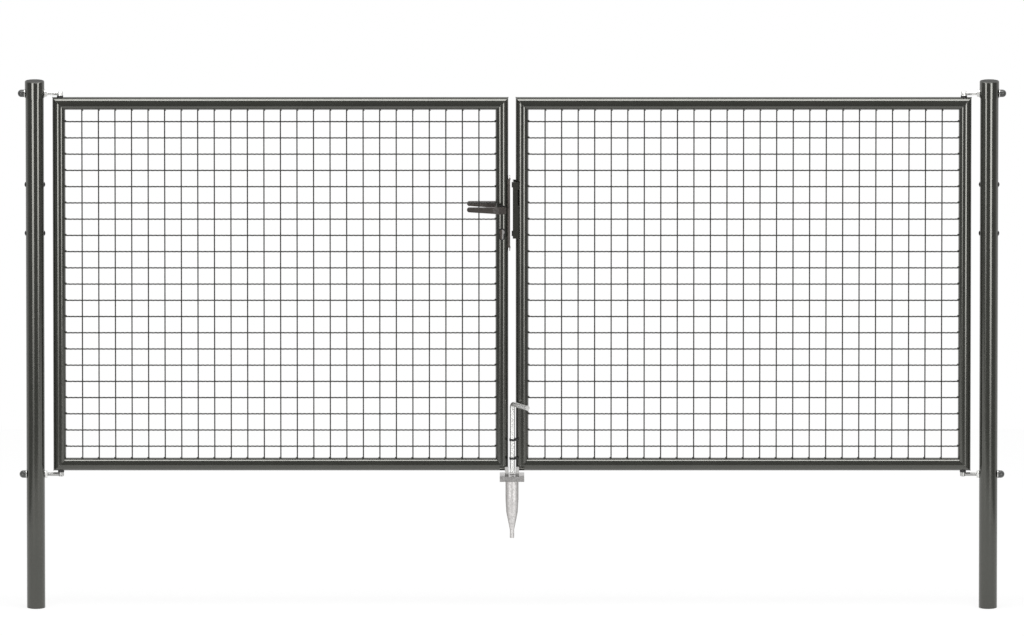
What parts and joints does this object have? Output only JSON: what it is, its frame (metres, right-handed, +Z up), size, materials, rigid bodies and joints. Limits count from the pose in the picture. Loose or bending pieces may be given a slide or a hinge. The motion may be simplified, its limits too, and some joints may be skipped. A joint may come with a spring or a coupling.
{
  "type": "double mesh gate",
  "caption": "Two hinged leaves of round tube filled with woven wire mesh, between round posts, with a lever lock, a drop bolt and its ground socket.",
  "frame": {"origin": "centre of the left post's foot, where it stands on its footing", "axes": "+X from the left post to the right post, +Y away from the front, +Z up"},
  "size_m": [3.2258, 0.165, 1.7529],
  "materials": {
    "powder_coat": "glossy anthracite powder coat",
    "zinc": "bright zinc plate",
    "lock_metal": "satin plated steel",
    "black_plastic": "moulded black plastic",
    "lever_plastic": "satin brown-black plastic"
  },
  "bodies": {
    "posts": {"left_post": "powder_coat", "right_post": "powder_coat", "left_post_cap": "black_plastic", "right_post_cap": "black_plastic", "left_post_plugs": "black_plastic", "right_post_plugs": "black_plastic", "left_top_hinge_bolt": "zinc", "left_bottom_hinge_bolt": "zinc", "right_top_hinge_bolt": "zinc", "right_bottom_hinge_bolt": "zinc", "left_hinge_nuts": "zinc", "right_hinge_nuts": "zinc", "left_hinge_washers": "zinc", "right_hinge_washers": "zinc", "left_nut_covers": "black_plastic", "right_nut_covers": "black_plastic", "socket_plate": "zinc", "ground_stake": "zinc"},
    "left_leaf": {"left_top_rail": "powder_coat", "left_bottom_rail": "powder_coat", "left_hinge_stile": "powder_coat", "lock_stile": "powder_coat", "left_mesh_hinge_side": "powder_coat", "left_mesh_middle": "powder_coat", "left_mesh_lock_side": "powder_coat", "left_hinge_bushes": "black_plastic", "lock_faceplate": "lock_metal", "lock_case": "lock_metal", "profile_cylinder": "lock_metal", "lock_trim": "black_plastic"},
    "lever": {"front_lever": "lever_plastic", "rear_lever": "lever_plastic", "handle_spindle": "lock_metal"},
    "right_leaf": {"right_top_rail": "powder_coat", "right_bottom_rail": "powder_coat", "right_hinge_stile": "powder_coat", "meeting_stile": "powder_coat", "right_mesh_hinge_side": "powder_coat", "right_mesh_middle": "powder_coat", "right_mesh_meeting_side": "powder_coat", "right_hinge_bushes": "black_plastic", "lock_keep": "powder_coat", "keep_bolts": "black_plastic", "bolt_guides": "black_plastic"},
    "drop_bolt": {"drop_bolt": "zinc"}
  },
  "joints": [
    {"name": "left_leaf_hinge", "type": "hinge", "parent": "posts", "child": "left_leaf", "pos_m": [0.083, 0, 1.078], "axis": [0, 0, 1], "range_deg": [0, 120]},
    {"name": "right_leaf_hinge", "type": "hinge", "parent": "posts", "child": "right_leaf", "pos_m": [3.033, 0, 1.078], "axis": [0, 0, -1], "range_deg": [0, 120]},
    {"name": "lever_turn", "type": "hinge", "parent": "left_leaf", "child": "lever", "pos_m": [1.525, 0, 1.332], "axis": [0, -1, 0], "range_deg": [0, 40], "stiffness_Nm_per_rad": 0.8, "springref_deg": -17.19},
    {"name": "drop_bolt_slide", "type": "slide", "parent": "right_leaf", "child": "drop_bolt", "axis": [0, 0, 1], "range_m": [-0.055, 0.035]}
  ]
}
